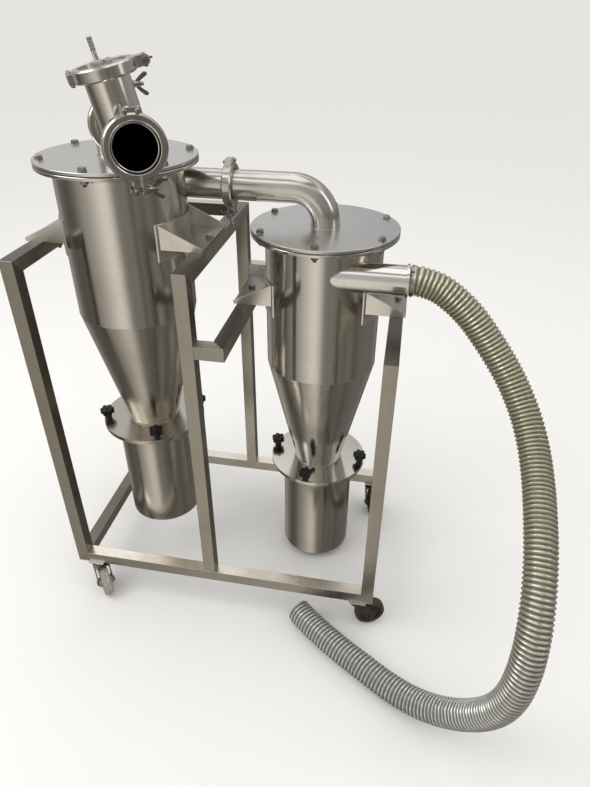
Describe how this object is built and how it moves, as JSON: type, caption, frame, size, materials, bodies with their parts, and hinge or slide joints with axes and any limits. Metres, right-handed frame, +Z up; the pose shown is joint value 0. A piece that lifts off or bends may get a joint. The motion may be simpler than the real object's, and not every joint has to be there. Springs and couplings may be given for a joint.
{
  "type": "cyclone separator",
  "caption": "Stainless steel cyclone dust separator: stepped side-by-side cyclones with collecting pots on a caster frame, crossover pipe, clamped outlet tee and suction hose",
  "frame": {"origin": "middle of the footprint on the floor, the hose left out", "axes": "+X to the right seen from the front, +Y to the back, +Z up"},
  "size_m": [1.3416, 0.9902, 1.5765],
  "materials": {
    "steel": "brushed stainless steel",
    "lid": "fine brushed stainless steel sheet",
    "clamp": "cast and tumbled stainless steel",
    "gasket": "flat black rubber",
    "knob": "black moulded plastic",
    "hose": "translucent grey-green plastic with a steel wire helix",
    "caster": "zinc-plated pressed steel",
    "tread": "worn grey rubber tread on a plastic wheel"
  },
  "bodies": {
    "root": {"base_front_rail": "steel", "base_rear_rail": "steel", "base_left_rail": "steel", "base_right_rail": "steel", "left_front_post": "steel", "left_rear_post": "steel", "left_top_rail": "steel", "middle_front_post": "steel", "middle_rear_post": "steel", "middle_top_rail": "steel", "right_front_post": "steel", "right_rear_post": "steel", "right_top_rail": "steel", "rear_cross_rail": "steel", "inner_front_stub": "steel", "inner_top_rail": "steel", "inner_rear_rail": "steel", "barrel_1": "steel", "cone_1": "steel", "lid_1": "lid", "lid_gasket_1": "gasket", "brackets_1": "steel", "pot_1": "steel", "knobs_1": "knob", "barrel_2": "steel", "cone_2": "steel", "lid_2": "lid", "lid_gasket_2": "gasket", "brackets_2": "steel", "pot_2": "steel", "knobs_2": "knob", "crossover_pipe": "steel", "crossover_elbow": "steel", "crossover_clamp": "clamp", "inlet_pipe": "steel", "outlet_elbow": "steel", "outlet_tee": "steel", "outlet_cap": "clamp", "outlet_clamps": "clamp", "hose": "hose", "caster_plates": "caster"},
    "front_left_swivel": {"front_left_fork": "caster"},
    "front_left_roller": {"front_left_wheel": "tread"},
    "front_right_swivel": {"front_right_fork": "caster"},
    "front_right_roller": {"front_right_wheel": "tread"},
    "rear_left_swivel": {"rear_left_fork": "caster"},
    "rear_left_roller": {"rear_left_wheel": "tread"},
    "rear_right_swivel": {"rear_right_fork": "caster"},
    "rear_right_roller": {"rear_right_wheel": "tread"}
  },
  "joints": [
    {"name": "front_left_swivel_turn", "type": "hinge", "parent": "root", "child": "front_left_swivel", "pos_m": [-0.42656, -0.23018, 0.114], "axis": [0, 0, 1], "continuous": true},
    {"name": "front_left_wheel_spin", "type": "hinge", "parent": "front_left_swivel", "child": "front_left_roller", "pos_m": [-0.40085, -0.26082, 0.046], "axis": [0.766, 0.6428, 0], "continuous": true},
    {"name": "front_right_swivel_turn", "type": "hinge", "parent": "root", "child": "front_right_swivel", "pos_m": [0.41144, -0.23018, 0.114], "axis": [0, 0, 1], "continuous": true},
    {"name": "front_right_wheel_spin", "type": "hinge", "parent": "front_right_swivel", "child": "front_right_roller", "pos_m": [0.44878, -0.21584, 0.046], "axis": [-0.3584, 0.9336, 0], "continuous": true},
    {"name": "rear_left_swivel_turn", "type": "hinge", "parent": "root", "child": "rear_left_swivel", "pos_m": [-0.42656, 0.30982, 0.114], "axis": [0, 0, 1], "continuous": true},
    {"name": "rear_left_wheel_spin", "type": "hinge", "parent": "rear_left_swivel", "child": "rear_left_roller", "pos_m": [-0.39031, 0.32673, 0.046], "axis": [-0.4226, 0.9063, 0], "continuous": true},
    {"name": "rear_right_swivel_turn", "type": "hinge", "parent": "root", "child": "rear_right_swivel", "pos_m": [0.41144, 0.30982, 0.114], "axis": [0, 0, 1], "continuous": true},
    {"name": "rear_right_wheel_spin", "type": "hinge", "parent": "rear_right_swivel", "child": "rear_right_roller", "pos_m": [0.41976, 0.2707, 0.046], "axis": [0.9781, 0.2079, 0], "continuous": true}
  ]
}
